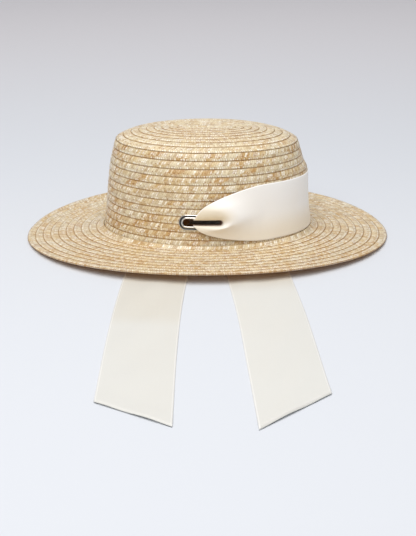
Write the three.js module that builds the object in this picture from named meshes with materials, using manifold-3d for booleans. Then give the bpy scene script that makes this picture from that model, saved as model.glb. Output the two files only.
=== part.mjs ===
// A straw boater hat, lying on a flat surface with its ribbon drawn out in front of it.
// The crown and the brim are sewn rows of straw plait, each row lapped over the next one out.
// A wide satin ribbon lies round the right half of the crown, is gathered into an oval metal
// eyelet at the front and another at the back, and comes out under the brim as two flat tails.
// Millimetres. +X is the hat's length, -Y its front, +Z up, and z = 0 is the surface below.
// The origin lies on that surface, under the middle of the crown.

import * as THREE from 'three';
import { ParametricGeometry } from 'three/addons/geometries/ParametricGeometry.js';
import { mergeVertices } from 'three/addons/utils/BufferGeometryUtils.js';
import Module from 'manifold-3d';

const wasm = await Module();
wasm.setup();

// Straw
const strawWall = 2;
const plaitWidth = 7.5;
const plaitStep = 0.5;
const pieceGap = 0.3;

// Crown, measured on its outside
const crownLength = 206;
const crownDepth = 176;
const shoulderLength = 179.2;
const shoulderDepth = 136.8;
const creaseHeight = 10.6;
const shoulderHeight = 98.5;
const domeRise = 10.3;
const domePower = 4.3;
const rightShoulderSag = 2.2;

// How much of the taper from crease to shoulder is reached at each share of the way up
const crownTaper = [
  { up: 0, taper: 0 },
  { up: 0.28, taper: 0.25 },
  { up: 0.56, taper: 0.43 },
  { up: 0.79, taper: 0.65 },
  { up: 1, taper: 1 },
];

// How far the right end of the wall swells out over the ribbon at each share of the way up
const rightSwell = [
  { up: 0, swell: 0 },
  { up: 0.3, swell: 0.8 },
  { up: 0.5, swell: 1.8 },
  { up: 0.665, swell: 2.8 },
  { up: 0.75, swell: 0.4 },
  { up: 0.85, swell: 0 },
  { up: 1, swell: 0 },
];

// Levels of the crown's smooth inside, from its side wall to the middle of its tip
const insideLevels = [1.8, 1.5, 1.335, 1.25, 1.1, 1, 0.85, 0.6, 0.3, 0];

// Brim
const brimWidth = 76;
const brimLift = 8.4;
const brimLiftPower = 1.15;
const restingShare = 0.14;
const collarRise = 2.6;
const collarWall = 1.5;

// The hollow curve where the brim turns up into its collar
const collarCurve = [
  { out: 0.5, rise: 0.42 },
  { out: 1, rise: 0.08 },
];
const collarReach = 4;

// Eyelets
const eyeletHoleLength = 46.6;
const eyeletHoleHeight = 7.2;
const eyeletRim = 3;
const eyeletSheet = 1.2;
const eyeletBarrelWall = 0.8;
const eyeletCentreHeight = 34.6;
const cutterReach = 4;

// Ribbon
const ribbonWidth = 58.5;
const ribbonThickness = 1;
const bandTop = 67.3;
const bandBottom = 14.4;
const bandDip = 1.2;
const bandDipStart = 0.4;
const gatherReach = 62;
const gatherApex = 14.8;
const lipStandOff = 1.1;
const gatherSlope = 1.2;
const gatherEase = 1.3;

// Where the two lips stand out furthest on their way from the eyelet to the flat band, by the share
// of the half width from the fold to the ribbon's edge: how far that is to the right of the folded
// ribbon, above and below the eyelet's middle, and off the wall
const lipCrest = [
  { share: 0, right: 7.4, above: 1.5, below: -1.5, off: 9 },
  { share: 0.15, right: 6.8, above: 7, below: 3.4, off: 9 },
  { share: 0.4, right: 6, above: 11.8, below: 5.9, off: 8.2 },
  { share: 0.7, right: 6.2, above: 12.9, below: 7.4, off: 6.2 },
  { share: 1, right: 7.3, above: 12.6, below: 8.7, off: 4.4 },
];
const crestPlace = 0.24;
const crestRun = 0.55;
const crestClimb = 1.3;
const crestLift = 2.2;
const leftTailReach = 456.5;
const rightTailReach = 451.5;
const leftTailSlant = -45;
const rightTailSlant = 62;
const tailEndShare = 0.6;

// The hidden stretch inside the crown: how far the ribbon runs straight in before it drops, and
// how far it runs level before it touches the surface, and over what length its fold then opens.
// The fold's radius there is a share of what it is in the eyelet.
const frontLoop = 34;
const backLoop = 38;
const landingHandle = 30;
const unrollLength = 62;
const pressedFold = 0.7;
const openFold = 1.3;
const unrollEase = 1.6;

// Middle of each tail: share of its reach, and sideways place as a share of the ribbon's width
const leftTailLine = [
  { reach: 0.145, across: -0.64 },
  { reach: 0.24, across: -0.76 },
  { reach: 0.36, across: -0.83 },
  { reach: 0.545, across: -0.89 },
  { reach: 0.75, across: -0.92 },
  { reach: 1, across: -0.93 },
];
const rightTailLine = [
  { reach: -0.053, across: -0.19 },
  { reach: 0.06, across: 0.2 },
  { reach: 0.15, across: 0.58 },
  { reach: 0.25, across: 0.76 },
  { reach: 0.36, across: 0.83 },
  { reach: 0.55, across: 0.93 },
  { reach: 0.78, across: 1.01 },
  { reach: 1, across: 1.08 },
];

// Fineness of the facets
const turnSegments = 44;
const bandStations = 13;
const gatherStations = 11;
const dropStations = 7;
const unrollStations = 7;
const tailStations = 6;
const legSteps = 3;
const foldSteps = 4;

const strawMaterial = new THREE.MeshStandardMaterial({ color: 0xd9bf90, roughness: 0.6, metalness: 0 });
const brimMaterial = new THREE.MeshStandardMaterial({ color: 0xdfc698, roughness: 0.6, metalness: 0 });
const satinMaterial = new THREE.MeshStandardMaterial({ color: 0xefeade, roughness: 0.35, metalness: 0 });
const frontMetal = new THREE.MeshStandardMaterial({ color: 0xc4c4c6, roughness: 0.15, metalness: 1 });
const backMetal = frontMetal.clone();

// Smooth value of a table's column where its key column holds the value x
function valueAt(table, key, column, x) {
  const last = table.length - 2;
  let i = 0;
  while (i < last && x > table[i + 1][key]) i += 1;
  const slope = (k) => {
    const a = table[Math.max(k - 1, 0)];
    const b = table[Math.min(k + 1, table.length - 1)];
    return (b[column] - a[column]) / (b[key] - a[key]);
  };
  const span = table[i + 1][key] - table[i][key];
  const t = (x - table[i][key]) / span;
  return hermite(table[i][column], table[i + 1][column], slope(i) * span, slope(i + 1) * span, t);
}

function hermite(start, end, startSlope, endSlope, t) {
  const t2 = t * t;
  const t3 = t2 * t;
  return (
    (2 * t3 - 3 * t2 + 1) * start +
    (3 * t2 - 2 * t3) * end +
    (t3 - 2 * t2 + t) * startSlope +
    (t3 - t2) * endSlope
  );
}

// A closed body from loops of points: each loop is joined to the next, and a loop that has
// shrunk to a line closes the end. Points that coincide are merged.
function bodyFromLoops(loops) {
  const around = loops[0].length;
  const along = loops.length - 1;
  const grid = new ParametricGeometry(
    (u, v, target) => {
      const loop = loops[Math.round(v * along)];
      target.copy(loop[Math.round(u * around) % around]);
    },
    around,
    along,
  );
  grid.deleteAttribute('normal');
  grid.deleteAttribute('uv');
  const merged = mergeVertices(grid, 1e-4);
  const index = [];
  for (let i = 0; i < merged.index.count; i += 3) {
    const [a, b, c] = [0, 1, 2].map((k) => merged.index.getX(i + k));
    if (a !== b && b !== c && c !== a) index.push(a, b, c);
  }
  merged.setIndex(index);
  return merged;
}

function solidOf(geometry) {
  const vertProperties = new Float32Array(geometry.attributes.position.array);
  const triVerts = new Uint32Array(geometry.index.array);
  return new wasm.Manifold(new wasm.Mesh({ numProp: 3, vertProperties, triVerts }));
}

function geometryOf(solid) {
  const mesh = solid.getMesh();
  const geometry = new THREE.BufferGeometry();
  geometry.setAttribute('position', new THREE.BufferAttribute(mesh.vertProperties, 3));
  geometry.setIndex(new THREE.BufferAttribute(mesh.triVerts, 1));
  return geometry;
}

function turnAngles() {
  return Array.from({ length: turnSegments }, (_, i) => (2 * Math.PI * (i + 0.5)) / turnSegments);
}

// The crown's outside. A place on it is a level and an angle: level 0 is the middle of the tip,
// 1 the shoulder, 2 the crease.
function crownSurface(level, angle) {
  const halfLength = shoulderLength / 2;
  const halfDepth = shoulderDepth / 2;
  const right = Math.max(0, Math.cos(angle)) ** 2;
  if (level <= 1) {
    const core = halfLength - halfDepth;
    return new THREE.Vector3(
      (core + level * halfDepth) * Math.cos(angle),
      level * halfDepth * Math.sin(angle),
      shoulderHeight + domeRise * (1 - level ** domePower) - rightShoulderSag * right * level,
    );
  }
  const up = 2 - level;
  const taper = up > 0 ? valueAt(crownTaper, 'up', 'taper', up) : 0;
  const swell = up > 0 ? valueAt(rightSwell, 'up', 'swell', up) * right : 0;
  const sag = rightShoulderSag * right * THREE.MathUtils.smoothstep(up, 0.7, 1);
  return new THREE.Vector3(
    (THREE.MathUtils.lerp(crownLength / 2, halfLength, taper) + swell) * Math.cos(angle),
    THREE.MathUtils.lerp(crownDepth / 2, halfDepth, taper) * Math.sin(angle),
    THREE.MathUtils.lerp(creaseHeight, shoulderHeight, up) - sag,
  );
}

function crownPoint(level, angle, outward) {
  const step = 1e-3;
  const low = Math.max(level - step, step);
  const alongLevel = crownSurface(low + 2 * step, angle).sub(crownSurface(low, angle));
  const alongAngle = crownSurface(low + step, angle + step).sub(crownSurface(low + step, angle - step));
  const normal = alongLevel.cross(alongAngle).normalize();
  return crownSurface(level, angle).addScaledVector(normal, outward);
}

// Levels and stand-offs of the plait rows, from the middle of the tip to the crease. Each row
// starts tucked under the one before and ends standing over the next.
function crownRows() {
  const tipRows = Math.round(shoulderDepth / 2 / plaitWidth);
  const sideRows = Math.round((shoulderHeight - creaseHeight) / plaitWidth);
  const edges = [];
  for (let i = 1; i <= tipRows; i += 1) edges.push(i / tipRows);
  for (let i = 1; i <= sideRows; i += 1) edges.push(1 + i / sideRows);
  const rows = [{ level: 0, outward: -plaitStep / 2 }];
  edges.forEach((level, i) => {
    rows.push({ level, outward: 0 });
    if (i < edges.length - 1) rows.push({ level, outward: -plaitStep });
  });
  return rows;
}

function crownBody() {
  const foot = 2 + strawWall / (shoulderHeight - creaseHeight);
  const inside = [foot, ...insideLevels];
  const levels = [
    ...crownRows(),
    { level: foot, outward: 0 },
    ...inside.map((level) => ({ level, outward: -strawWall })),
  ];
  const angles = turnAngles();
  return bodyFromLoops(levels.reverse().map((row) => angles.map((a) => seamPoint(row, a))));
}

// In the middle of the tip the rows close on a straight seam
function seamPoint(row, angle) {
  const point = crownPoint(row.level, angle, row.outward);
  if (row.level > 0) return point;
  const core = (shoulderLength - shoulderDepth) / 2;
  return new THREE.Vector3(core * Math.cos(angle), 0, shoulderHeight + domeRise + row.outward);
}

// Where a place on the crown's wall lies, from its distance along the wall to the right of the
// eyelet's middle, its height and its stand-off. side is -1 for the front and 1 for the back.
function wallPoint(side, along, height, outward) {
  const level = 2 - (height - creaseHeight) / (shoulderHeight - creaseHeight);
  const middle = 2 - (eyeletCentreHeight - creaseHeight) / (shoulderHeight - creaseHeight);
  const turn = Math.PI / 2 - along / crownSurface(middle, 0).x;
  return crownPoint(level, side * turn, outward);
}

// Rounded oblong path round an eyelet's hole, widened by some distance
function eyeletOutline(widen, straightSteps, endSteps) {
  const radius = eyeletHoleHeight / 2 + widen;
  const half = (eyeletHoleLength - eyeletHoleHeight) / 2;
  const points = [];
  for (let i = 0; i < straightSteps; i += 1) {
    points.push([half - (2 * half * i) / straightSteps, radius]);
  }
  for (let i = 0; i < endSteps; i += 1) {
    const turn = Math.PI / 2 + (Math.PI * i) / endSteps;
    points.push([radius * Math.cos(turn) - half, radius * Math.sin(turn)]);
  }
  for (let i = 0; i < straightSteps; i += 1) {
    points.push([(2 * half * i) / straightSteps - half, -radius]);
  }
  for (let i = 0; i < endSteps; i += 1) {
    const turn = (Math.PI * i) / endSteps - Math.PI / 2;
    points.push([radius * Math.cos(turn) + half, radius * Math.sin(turn)]);
  }
  return points;
}

function eyeletLoop(side, widen, outward) {
  const lean = Math.cos(Math.atan2(crownDepth - shoulderDepth, 2 * (shoulderHeight - creaseHeight)));
  const outline = eyeletOutline(widen, 4, 6);
  return outline.map(([along, rise]) =>
    wallPoint(side, along, eyeletCentreHeight + rise * lean, outward),
  );
}

// One eyelet: a rounded rim outside, a barrel through the straw and a flat rim inside
function eyeletBody(side) {
  const front = pieceGap + eyeletSheet;
  const back = -strawWall - pieceGap;
  const round = eyeletSheet / 2;
  const section = [
    { widen: 0, outward: pieceGap },
    { widen: round / 2, outward: front - round / 2 },
    { widen: eyeletRim / 2, outward: front },
    { widen: eyeletRim - round / 2, outward: front - round / 2 },
    { widen: eyeletRim, outward: pieceGap },
    { widen: eyeletBarrelWall, outward: pieceGap },
    { widen: eyeletBarrelWall, outward: back },
    { widen: eyeletRim, outward: back },
    { widen: eyeletRim, outward: back - eyeletSheet / 2 },
    { widen: 0, outward: back - eyeletSheet / 2 },
  ];
  const loops = section.map((row) => eyeletLoop(side, row.widen, row.outward));
  return bodyFromLoops(facing(-side, [...loops, loops[0]]));
}

// Loops on the back are mirrored, so they run the other way round
function facing(side, loops) {
  return side < 0 ? loops : loops.map((loop) => [...loop].reverse());
}

function slotCutter(side) {
  const widen = eyeletBarrelWall + pieceGap;
  const outwards = [cutterReach, 0, -strawWall / 2, -strawWall, -strawWall - cutterReach];
  const rims = outwards.map((outward) => eyeletLoop(side, widen, outward));
  const flat = (loop) => {
    const middle = new THREE.Vector3();
    loop.forEach((point) => middle.addScaledVector(point, 1 / loop.length));
    return loop.map(() => middle);
  };
  const loops = [flat(rims[0]), ...rims, flat(rims[rims.length - 1])];
  return solidOf(bodyFromLoops(facing(side, loops.reverse())));
}

// The brim. out is the distance from the crown's foot.
function brimHeight(out, angle) {
  const rise = Math.max(0, Math.abs(Math.sin(angle)) - restingShare) / (1 - restingShare);
  const edge = strawWall + brimLift * rise ** brimLiftPower;
  return THREE.MathUtils.lerp(creaseHeight, edge, Math.max(0, out) / brimWidth);
}

function brimPoint(out, angle, height) {
  const a = crownLength / 2;
  const b = crownDepth / 2;
  const normal = new THREE.Vector2(b * Math.cos(angle), a * Math.sin(angle)).normalize();
  return new THREE.Vector3(
    a * Math.cos(angle) + out * normal.x,
    b * Math.sin(angle) + out * normal.y,
    height,
  );
}

function brimBody() {
  const rows = Math.round(brimWidth / plaitWidth);
  const rowWidth = brimWidth / rows;
  const onTop = (out, rise) => (angle) => brimPoint(out, angle, brimHeight(out, angle) + rise);
  const below = (out) => onTop(out, -strawWall);
  const flatRow = (out) => (angle) => brimPoint(out, angle, brimHeight(brimWidth, angle) - strawWall);
  const profile = [
    onTop(pieceGap, collarRise),
    onTop(pieceGap + collarWall, collarRise),
    ...collarCurve.map((row) => onTop(collarWall + row.out * collarReach, row.rise * collarRise)),
  ];
  for (let i = 1; i <= rows; i += 1) {
    profile.push(onTop(i * rowWidth, 0));
    if (i < rows) profile.push(onTop(i * rowWidth, -plaitStep));
  }
  profile.push(flatRow(brimWidth), flatRow(brimWidth - rowWidth));
  profile.push(below(brimWidth * 0.6), below(brimWidth * 0.3), below(pieceGap));
  profile.push(profile[0]);
  const angles = turnAngles();
  return bodyFromLoops(profile.reverse().map((place) => angles.map(place)));
}

// The ribbon's section inside an eyelet: folded in two, its edges to the left. share runs from -1
// at the ribbon's lower edge to 1 at its upper edge.
function foldRadius() {
  return eyeletHoleHeight / 2 - pieceGap - ribbonThickness / 2;
}

function foldedLeg() {
  return (ribbonWidth - Math.PI * foldRadius()) / 2;
}

// The section's points for the ribbon folded evenly in two, as shares from -1 to 1
function foldedShares() {
  return crossLengths(foldedLeg(), 0).map((length) => (2 * length) / ribbonWidth - 1);
}

function foldedSection(share) {
  const radius = foldRadius();
  const middle = gatherApex - radius;
  const length = (Math.abs(share) * ribbonWidth) / 2;
  const turn = Math.min(length / radius, Math.PI / 2);
  return {
    along: middle + radius * Math.cos(turn) - (length - turn * radius),
    rise: Math.sign(share) * radius * Math.sin(turn),
  };
}

// The ribbon on the crown, from the eyelet at t = 0 over the lips' crest to the flat band at t = 1
function gatheredPoint(side, share, t) {
  const fold = foldedSection(share);
  const reach = Math.abs(share);
  const crestAt = (column) => valueAt(lipCrest, 'share', column, reach);
  const crestRise = share > 0 ? crestAt('above') : -crestAt('below');
  const height = THREE.MathUtils.lerp(bandBottom, bandTop, (share + 1) / 2);
  const start = eyeletCentreHeight + fold.rise;
  const lip = pieceGap + eyeletSheet + ribbonThickness / 2 + lipStandOff;
  const flat = pieceGap + ribbonThickness / 2;
  const run = gatherReach - fold.along;
  const along = [fold.along, fold.along + crestAt('right'), gatherReach];
  const heights = [start, eyeletCentreHeight + crestRise, height];
  const outwards = [lip, crestAt('off'), flat];
  return wallPoint(
    side,
    overCrest(along, [0, crestRun * run, gatherSlope * run], t),
    overCrest(heights, [0, crestClimb * (height - start), 0], t),
    overCrest(outwards, [(crestLift * (crestAt('off') - lip)) / crestPlace, 0, 0], t),
  );
}

// A smooth course from a start over the crest to an end, from its three values and slopes
function overCrest(values, slopes, t) {
  const part = t < crestPlace ? 0 : 1;
  const span = part === 0 ? crestPlace : 1 - crestPlace;
  const along = part === 0 ? t / span : (t - crestPlace) / span;
  return hermite(values[part], values[part + 1], slopes[part] * span, slopes[part + 1] * span, along);
}

// Distance along the wall from an eyelet's middle to the crown's right end
function endOfBand() {
  const middle = 2 - (eyeletCentreHeight - creaseHeight) / (shoulderHeight - creaseHeight);
  return crownSurface(middle, 0).x * (Math.PI / 2);
}

function bandPoint(along, side, share) {
  const angleShare = along / endOfBand();
  const dip = bandDip * THREE.MathUtils.smoothstep(angleShare, bandDipStart, 1);
  const height = THREE.MathUtils.lerp(bandBottom, bandTop, (share + 1) / 2) - dip;
  return wallPoint(side, along, height, pieceGap + ribbonThickness / 2);
}

function slotSection(side, outward) {
  return foldedShares().map((share) => {
    const fold = foldedSection(share);
    return wallPoint(side, fold.along, eyeletCentreHeight + fold.rise, outward);
  });
}

// Where the section's points lie along the ribbon's width: close together round the fold, and
// evenly spaced where evenness is 1
function crossLengths(flatLength, evenness) {
  const steps = 2 * legSteps + foldSteps;
  const fold = Math.PI * foldRadius();
  const leg = Math.min(flatLength, ribbonWidth - fold);
  const flap = ribbonWidth - leg - fold;
  const loose = THREE.MathUtils.smoothstep(flap, 0, 2 * fold);
  return Array.from({ length: steps + 1 }, (_, i) => {
    const pastLeg = i - legSteps;
    const pastFold = pastLeg - foldSteps;
    const spread = leg + ((fold + flap) * pastLeg) / (steps - legSteps);
    const inFold = leg + (fold * pastLeg) / foldSteps;
    const inFlap = leg + fold + (flap * pastFold) / legSteps;
    const dense = pastFold <= 0 ? inFold : inFlap;
    const length = pastLeg <= 0 ? (leg * i) / legSteps : THREE.MathUtils.lerp(spread, dense, loose);
    return THREE.MathUtils.lerp(length, (ribbonWidth * i) / steps, evenness);
  });
}

// A level section of the ribbon that is still partly folded: flatLength of it lies to the left of
// the fold, the rest is turned back on top. The first point is the left edge.
function unrollingSection(origin, heading, right, flatLength, evenness, radius) {
  const top = new THREE.Vector3().crossVectors(heading, right).normalize();
  return crossLengths(flatLength, evenness).map((length) => {
    const beyond = length - flatLength;
    const turn = THREE.MathUtils.clamp(beyond / radius, 0, Math.PI);
    const straight = Math.min(beyond, 0) - Math.max(beyond - Math.PI * radius, 0);
    return origin
      .clone()
      .addScaledVector(right, straight + radius * Math.sin(turn))
      .addScaledVector(top, radius * (1 - Math.cos(turn)));
  });
}

// A tail on the surface, from under the crown to its slanted end. Returns a curve through the
// right edge of the ribbon, where the hidden fold unrolls.
function tailCurve(line, reach) {
  const points = line.map(
    (row) =>
      new THREE.Vector3(
        (row.across + 0.5) * ribbonWidth,
        -row.reach * reach,
        ribbonThickness / 2,
      ),
  );
  return new THREE.CatmullRomCurve3(points, false, 'centripetal');
}

function rightOf(heading) {
  return new THREE.Vector3(-heading.y, heading.x, 0).normalize();
}

function tailSections(line, reach, slant) {
  const curve = tailCurve(line, reach);
  const whole = curve.getLength();
  const sections = [];
  const add = (share, flatLength, evenness, radius) => {
    const heading = curve.getTangentAt(share);
    const place = curve.getPointAt(share);
    sections.push(unrollingSection(place, heading, rightOf(heading), flatLength, evenness, radius));
  };
  const flat = unrollLength / whole;
  const lastFull = 1 - (tailEndShare * Math.abs(slant)) / whole;
  for (let i = 1; i <= unrollStations; i += 1) {
    const t = 1 - (1 - i / unrollStations) ** unrollEase;
    const radius = foldRadius() * THREE.MathUtils.lerp(pressedFold, openFold, t);
    add(flat * t, THREE.MathUtils.lerp(foldedLeg(), ribbonWidth, t), 0, radius);
  }
  for (let i = 1; i <= tailStations; i += 1) {
    const t = i / tailStations;
    add(THREE.MathUtils.lerp(flat, lastFull, t), ribbonWidth, t, foldRadius());
  }
  const heading = curve.getTangentAt(1);
  const middle = curve.getPointAt(1);
  const end = unrollingSection(middle, heading, rightOf(heading), ribbonWidth, 1, foldRadius());
  const steps = end.length - 1;
  end.forEach((point, i) => point.addScaledVector(heading, slant * (0.5 - i / steps)));
  sections.push(end);
  return sections;
}

// The hidden stretch, from the eyelet's inner side down to the surface
function dropSections(side, line, reach, loopReach) {
  const fold = gatherApex - foldRadius();
  const stationary = side * foldRadius();
  const inner = -strawWall - pieceGap - eyeletSheet - ribbonThickness;
  const start = wallPoint(side, fold, eyeletCentreHeight - stationary, inner);
  const outside = wallPoint(side, fold, eyeletCentreHeight - stationary, 0);
  const inward = start.clone().sub(outside).normalize();
  const tail = tailCurve(line, reach);
  const landing = tail.getPointAt(0);
  const heading = tail.getTangentAt(0);
  const curve = new THREE.CubicBezierCurve3(
    start,
    start.clone().addScaledVector(inward, loopReach),
    landing.clone().addScaledVector(heading, -landingHandle),
    landing,
  );
  const sections = [];
  for (let i = 0; i <= dropStations; i += 1) {
    const t = i / dropStations;
    const right = new THREE.Vector3(1, 0, 0).lerp(rightOf(heading), t).normalize();
    const radius = foldRadius() * THREE.MathUtils.lerp(1, pressedFold, t);
    const place = curve.getPoint(t);
    sections.push(unrollingSection(place, curve.getTangent(t), right, foldedLeg(), 0, radius));
  }
  return sections;
}

// Half of the ribbon, from the band's beginning to the end of one tail
function ribbonHalf(side, line, reach, slant, loopReach) {
  const sections = [];
  for (let i = gatherStations; i >= 0; i -= 1) {
    const t = (i / gatherStations) ** gatherEase;
    sections.push(foldedShares().map((share) => gatheredPoint(side, share, t)));
  }
  sections.push(slotSection(side, 0), slotSection(side, -strawWall));
  const hidden = [
    ...dropSections(side, line, reach, loopReach),
    ...tailSections(line, reach, slant),
  ];
  const upperEdgeFirst = side < 0;
  sections.push(...hidden.map((section) => (upperEdgeFirst ? section.reverse() : section)));
  return sections;
}

function ribbonLine() {
  const front = ribbonHalf(-1, leftTailLine, leftTailReach, leftTailSlant, frontLoop);
  const back = ribbonHalf(1, rightTailLine, rightTailReach, rightTailSlant, backLoop);
  const band = [];
  const end = endOfBand();
  for (let i = 1; i < bandStations; i += 1) {
    const along = THREE.MathUtils.lerp(gatherReach, 2 * end - gatherReach, i / bandStations);
    const side = along < end ? -1 : 1;
    const fromSlot = along < end ? along : 2 * end - along;
    band.push(foldedShares().map((share) => bandPoint(fromSlot, side, share)));
  }
  return [...front.reverse(), ...band, ...back];
}

// Thickens the ribbon's middle surface to both sides
function ribbonBody() {
  const line = ribbonLine();
  const last = line[0].length - 1;
  const pick = (list, i) => list[THREE.MathUtils.clamp(i, 0, list.length - 1)];
  const offset = (i, j, distance) => {
    const across = pick(line[i], j + 1).clone().sub(pick(line[i], j - 1));
    const along = pick(line, i + 1)[j].clone().sub(pick(line, i - 1)[j]);
    return line[i][j].clone().addScaledVector(across.cross(along).normalize(), distance);
  };
  const loop = (i, half) => {
    const outside = line[i].map((_, j) => offset(i, j, half));
    const inside = line[i].map((_, j) => offset(i, last - j, -half));
    return [...outside, ...inside];
  };
  const loops = line.map((_, i) => loop(i, ribbonThickness / 2));
  return bodyFromLoops([loop(0, 0), ...loops, loop(line.length - 1, 0)]);
}

function named(name, geometry, material) {
  const mesh = new THREE.Mesh(geometry, material);
  mesh.name = name;
  return mesh;
}

const crownSolid = solidOf(crownBody()).subtract(slotCutter(-1)).subtract(slotCutter(1));

const hat = new THREE.Group();
hat.add(named('crown', geometryOf(crownSolid), strawMaterial));
hat.add(named('brim', brimBody(), brimMaterial));
hat.add(named('ribbon', ribbonBody(), satinMaterial));
hat.add(named('eyelet_front', eyeletBody(-1), frontMetal));
hat.add(named('eyelet_back', eyeletBody(1), backMetal));

export default hat;
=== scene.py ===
"""A straw boater hat with a satin ribbon, on a plain pale surface."""

import math

import bmesh
import bpy
import numpy as np
from bpy.props import FloatProperty, FloatVectorProperty, PointerProperty
from mathutils import Matrix, Vector


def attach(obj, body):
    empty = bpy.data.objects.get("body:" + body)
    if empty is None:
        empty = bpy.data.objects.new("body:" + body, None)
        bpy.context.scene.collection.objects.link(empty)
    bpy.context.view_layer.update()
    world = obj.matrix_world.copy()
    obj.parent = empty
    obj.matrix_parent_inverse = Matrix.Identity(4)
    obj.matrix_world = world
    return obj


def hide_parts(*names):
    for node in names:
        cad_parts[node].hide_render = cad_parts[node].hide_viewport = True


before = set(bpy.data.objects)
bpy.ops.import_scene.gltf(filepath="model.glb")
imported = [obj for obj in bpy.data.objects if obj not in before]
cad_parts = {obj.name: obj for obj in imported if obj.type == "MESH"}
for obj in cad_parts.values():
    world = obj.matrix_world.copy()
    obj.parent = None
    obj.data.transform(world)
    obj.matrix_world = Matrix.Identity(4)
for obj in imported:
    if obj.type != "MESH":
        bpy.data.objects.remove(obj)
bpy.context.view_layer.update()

bl_info = {
    "name": "Straw boater hat",
    "version": (1, 0, 0),
    "blender": (4, 5, 0),
    "location": "View3D > Sidebar > Boater",
    "description": "Builds a sewn straw boater with its eyelets and its satin ribbon",
    "category": "Object",
}

# Sizes of the hat in metres, the same as the solids'
STRAW_WALL = 0.002
PLAIT_WIDTH = 0.0075
PIECE_GAP = 0.0003
CROWN_LENGTH = 0.206
CROWN_DEPTH = 0.176
SHOULDER_LENGTH = 0.1792
SHOULDER_DEPTH = 0.1368
CREASE_HEIGHT = 0.0106
SHOULDER_HEIGHT = 0.0985
DOME_RISE = 0.0103
DOME_POWER = 4.3
SHOULDER_SAG = 0.0022
CROWN_TAPER = ((0, 0), (0.28, 0.25), (0.56, 0.43), (0.79, 0.65), (1, 1))
# How far the right end of the wall swells out over the ribbon at each share of the way up
RIGHT_SWELL = (
    (0, 0), (0.3, 0.0008), (0.5, 0.0018), (0.665, 0.0028), (0.75, 0.0004), (0.85, 0), (1, 0),
)
BRIM_WIDTH = 0.076
BRIM_LIFT = 0.0084
BRIM_LIFT_POWER = 1.15
RESTING_SHARE = 0.14
COLLAR_RISE = 0.0026
HOLE_LENGTH = 0.0466
HOLE_HEIGHT = 0.0072
EYELET_SHEET = 0.0012
EYELET_BARREL_WALL = 0.0008
EYELET_HEIGHT = 0.0346
RIBBON_WIDTH = 0.0585
SOLID_RIBBON = 0.001
BAND_TOP = 0.0673
BAND_BOTTOM = 0.0144
BAND_DIP = 0.0012
BAND_DIP_START = 0.4
GATHER_REACH = 0.062
GATHER_APEX = 0.0148
LIP_STAND_OFF = 0.0011
GATHER_SLOPE = 1.2
CREST_PLACE = 0.24
CREST_RUN = 0.55
CREST_CLIMB = 1.3
CREST_LIFT = 2.2
# Sections of the ribbon from the flat band to the one in an eyelet's hole
SLOT_STATION = 36
# The lips' crest round the fold, by share of the half width from the fold to the ribbon's edge:
# how far it lies to the right of the folded ribbon, above and below the middle, and off the wall
LIP_CREST = (
    (0, 0.0074, 0.0015, -0.0015, 0.009), (0.15, 0.0068, 0.007, 0.0034, 0.009),
    (0.4, 0.006, 0.0118, 0.0059, 0.0082), (0.7, 0.0062, 0.0129, 0.0074, 0.0062),
    (1, 0.0073, 0.0126, 0.0087, 0.0044),
)
LEFT_TAIL_REACH = 0.4565
RIGHT_TAIL_REACH = 0.4515
LEFT_TAIL_SLANT = -0.045
RIGHT_TAIL_SLANT = 0.062
FRONT_LOOP = 0.034
BACK_LOOP = 0.038
LANDING_HANDLE = 0.03
UNROLL_LENGTH = 0.062
UNROLL_EASE = 1.6
PRESSED_FOLD = 0.7
FOLD_OPENING = 0.6
# Middle of each tail: share of its reach, and sideways place in ribbon widths
LEFT_TAIL = ((0.145, -0.64), (0.24, -0.76), (0.36, -0.83), (0.545, -0.89), (0.75, -0.92), (1, -0.93))
RIGHT_TAIL = (
    (-0.053, -0.19), (0.06, 0.2), (0.15, 0.58), (0.25, 0.76),
    (0.36, 0.83), (0.55, 0.93), (0.78, 1.01), (1, 1.08),
)

# Sizes that only the shown pieces have: the eyelets' rim is a little wider than the solids'
EYELET_RIM = 0.0042
EYELET_STRAIGHT_STEPS = 20
EYELET_END_STEPS = 22
ROW_STEP = 0.0005
ROW_RAGGEDNESS = 0.00034
LEAST_STRANDS = 24
TIP_ROWS = round(SHOULDER_DEPTH / 2 / PLAIT_WIDTH)
BRIM_FIRST_ROW = 40
RIBBON_COLUMNS = 41
BAND_STEPS = 62
HIDDEN_STEPS = 18
TAIL_STEPS = 56
LINE_STEPS = 60

# The camera, fitted to the photo
PHOTO_HEIGHT = 536
FOCAL_PIXELS = 1500
CAMERA_PLACE = (0, -1.4437, 0.4282)
CAMERA_DOWN = 0.312
CAMERA_ROLL = 0.006


def linear(red, green, blue):
    """A screen colour from 0 to 255 as a linear one."""
    return tuple(((c / 255 + 0.055) / 1.055) ** 2.4 for c in (red, green, blue))


def hermite(start, end, start_slope, end_slope, t):
    """A cubic from start to end with the given slopes there."""
    return (
        (2 * t**3 - 3 * t**2 + 1) * start
        + (3 * t**2 - 2 * t**3) * end
        + (t**3 - 2 * t**2 + t) * start_slope
        + (t**3 - t**2) * end_slope
    )


def smooth_step(x, low, high):
    t = np.clip((x - low) / (high - low), 0, 1)
    return t * t * (3 - 2 * t)


def unit(v):
    return v / np.linalg.norm(v, axis=-1, keepdims=True)


# The hat's surfaces


def table_value(rows, column, x):
    """Smooth value of a table's column where its first column holds x."""
    keys, values = np.array(rows, float)[:, 0], np.array(rows, float)[:, column]
    last = len(keys) - 1
    low, high = np.maximum(np.arange(last + 1) - 1, 0), np.minimum(np.arange(last + 1) + 1, last)
    slopes = (values[high] - values[low]) / (keys[high] - keys[low])
    i = np.clip(np.searchsorted(keys, x, side="left") - 1, 0, last - 1)
    span = keys[i + 1] - keys[i]
    return hermite(values[i], values[i + 1], slopes[i] * span, slopes[i + 1] * span, (x - keys[i]) / span)


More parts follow.
